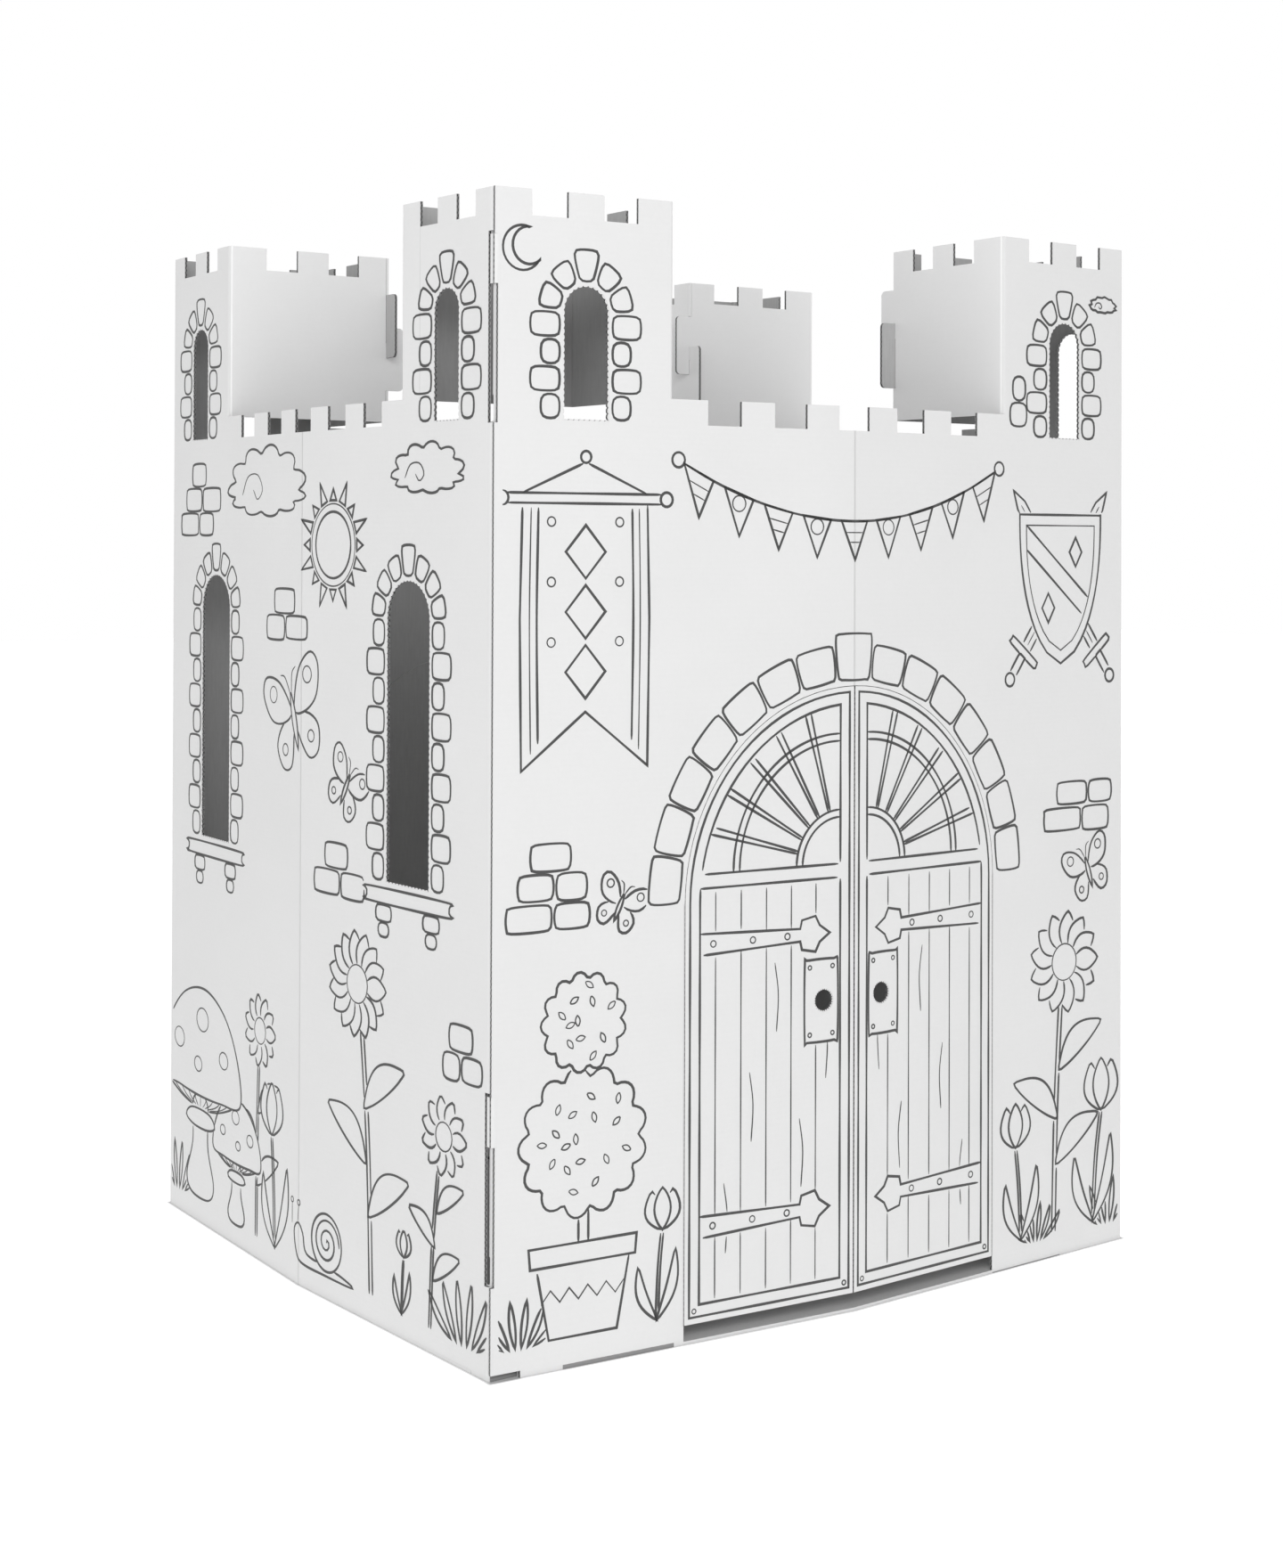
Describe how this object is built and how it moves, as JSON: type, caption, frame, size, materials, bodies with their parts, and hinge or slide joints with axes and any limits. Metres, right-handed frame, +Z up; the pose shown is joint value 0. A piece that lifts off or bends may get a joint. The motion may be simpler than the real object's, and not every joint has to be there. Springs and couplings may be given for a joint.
{
  "type": "cardboard castle",
  "caption": "Free-standing folded board play castle with toothed corner towers, arched windows and swinging arched doors.",
  "frame": {"origin": "on the ground at the middle of the castle's bounding box", "axes": "+Z up, the front wall faces -Y and the left side wall faces -X"},
  "size_m": [0.828, 0.71, 1.053],
  "materials": {
    "board": "matte"
  },
  "bodies": {
    "walls": {"front_sheet": "board", "back_sheet": "board"},
    "front_door_left": {"front_door_left": "board"},
    "front_door_right": {"front_door_right": "board"},
    "back_door_left": {"back_door_left": "board"},
    "back_door_right": {"back_door_right": "board"}
  },
  "joints": [
    {"name": "front_door_left_crease", "type": "hinge", "parent": "walls", "child": "front_door_left", "pos_m": [-0.1965, -0.34321, 0.3], "axis": [0, 0, -1], "range_deg": [0, 110]},
    {"name": "front_door_right_crease", "type": "hinge", "parent": "walls", "child": "front_door_right", "pos_m": [0.1965, -0.34321, 0.3], "axis": [0, 0, 1], "range_deg": [0, 110]},
    {"name": "back_door_left_crease", "type": "hinge", "parent": "walls", "child": "back_door_left", "pos_m": [0.1965, 0.34321, 0.3], "axis": [0, 0, -1], "range_deg": [0, 110]},
    {"name": "back_door_right_crease", "type": "hinge", "parent": "walls", "child": "back_door_right", "pos_m": [-0.1965, 0.34321, 0.3], "axis": [0, 0, 1], "range_deg": [0, 110]}
  ]
}
